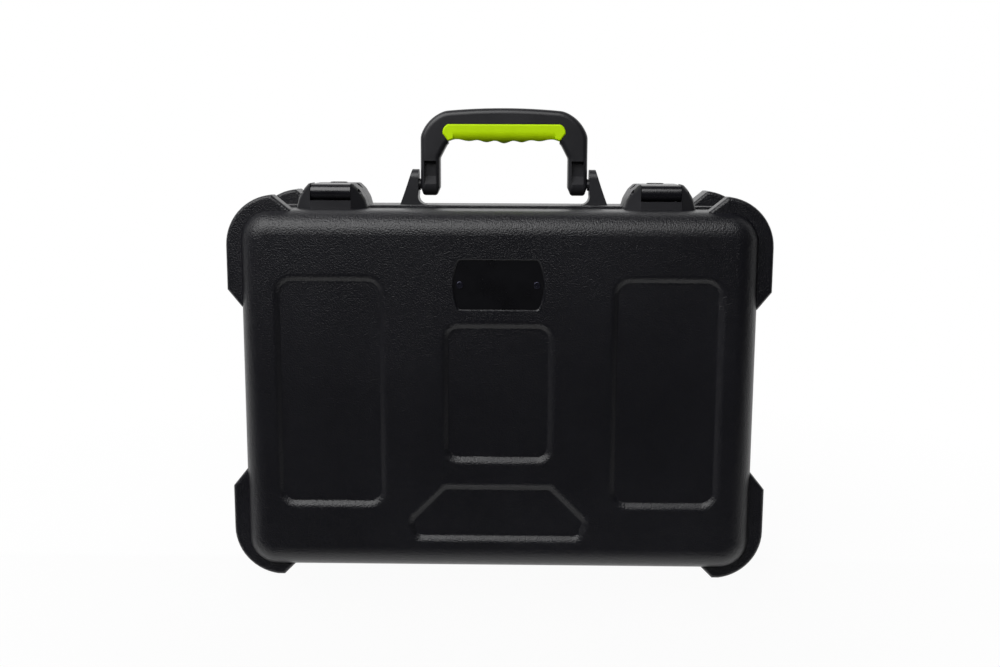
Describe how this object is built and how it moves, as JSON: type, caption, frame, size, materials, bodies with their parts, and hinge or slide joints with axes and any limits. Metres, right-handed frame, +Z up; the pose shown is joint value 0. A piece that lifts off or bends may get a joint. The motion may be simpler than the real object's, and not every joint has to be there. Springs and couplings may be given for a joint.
{
  "type": "microphone case",
  "caption": "Upright moulded hard case with corner guards, a drop-forward lid, hasp latches with key locks, a folding carrying handle and cut foam for handheld microphones.",
  "frame": {"origin": "centre of the closed case's footprint, on the plane its four feet stand on", "axes": "+X across the case to the right seen from the lid, +Y from the lid at the front to the base at the back, +Z up towards the handle"},
  "size_m": [0.4632, 0.168, 0.4093],
  "materials": {
    "shell_plastic": "near-black pebble-grained polyethylene",
    "fitting_plastic": "smooth satin black nylon",
    "gloss_fitting": "smooth glossy black",
    "grip_rubber": "lime green soft overmould",
    "badge_black": "smooth satin black",
    "black_steel": "black-coated steel",
    "bare_steel": "zinc-plated steel",
    "seal_rubber": "black rubber",
    "foam": "charcoal open-cell foam"
  },
  "bodies": {
    "base": {"base_shell": "shell_plastic", "rim_seal": "seal_rubber", "hinge_base_leaf_left": "black_steel", "hinge_base_leaf_right": "black_steel", "hinge_pin_left": "bare_steel", "hinge_pin_right": "bare_steel", "hinge_base_rivets": "bare_steel", "lock_body_left": "fitting_plastic", "lock_body_right": "fitting_plastic", "lock_screws": "bare_steel", "handle_bracket_left": "fitting_plastic", "handle_bracket_right": "fitting_plastic", "handle_pin_left": "black_steel", "handle_pin_right": "black_steel", "bracket_screws": "bare_steel", "base_pad_foam": "foam", "mic_block_foam": "foam"},
    "lid": {"lid_shell": "shell_plastic", "badge_plate": "badge_black", "badge_screws": "black_steel", "hinge_lid_leaf_left": "black_steel", "hinge_lid_leaf_right": "black_steel", "hinge_lid_rivets": "bare_steel", "keeper_housing_left": "fitting_plastic", "hasp_pin_left": "bare_steel", "keeper_housing_right": "fitting_plastic", "hasp_pin_right": "bare_steel", "keeper_screws": "bare_steel", "lid_foam": "foam"},
    "hasp_left": {"hasp_left": "gloss_fitting"},
    "hasp_right": {"hasp_right": "gloss_fitting"},
    "lock_left": {"lock_cylinder_left": "bare_steel", "lock_cam_left": "bare_steel"},
    "lock_right": {"lock_cylinder_right": "bare_steel", "lock_cam_right": "bare_steel"},
    "handle": {"handle_frame": "fitting_plastic", "handle_grip": "grip_rubber"}
  },
  "joints": [
    {"name": "lid_hinge", "type": "hinge", "parent": "base", "child": "lid", "pos_m": [0, -0.024, 0.0046], "axis": [1, 0, 0], "range_deg": [0, 110]},
    {"name": "hasp_left_hinge", "type": "hinge", "parent": "lid", "child": "hasp_left", "pos_m": [-0.1453, -0.043, 0.3357], "axis": [1, 0, 0], "range_deg": [0, 110]},
    {"name": "hasp_right_hinge", "type": "hinge", "parent": "lid", "child": "hasp_right", "pos_m": [0.1384, -0.043, 0.3357], "axis": [1, 0, 0], "range_deg": [0, 110]},
    {"name": "lock_left_turn", "type": "hinge", "parent": "base", "child": "lock_left", "pos_m": [-0.1453, 0.001, 0.3215], "axis": [0, 0, -1], "range_deg": [0, 90]},
    {"name": "lock_right_turn", "type": "hinge", "parent": "base", "child": "lock_right", "pos_m": [0.1384, 0.001, 0.3215], "axis": [0, 0, -1], "range_deg": [0, 90]},
    {"name": "handle_hinge", "type": "hinge", "parent": "base", "child": "handle", "pos_m": [0.0027, 0.028, 0.3403], "axis": [1, 0, 0], "range_deg": [-90, 90]}
  ]
}
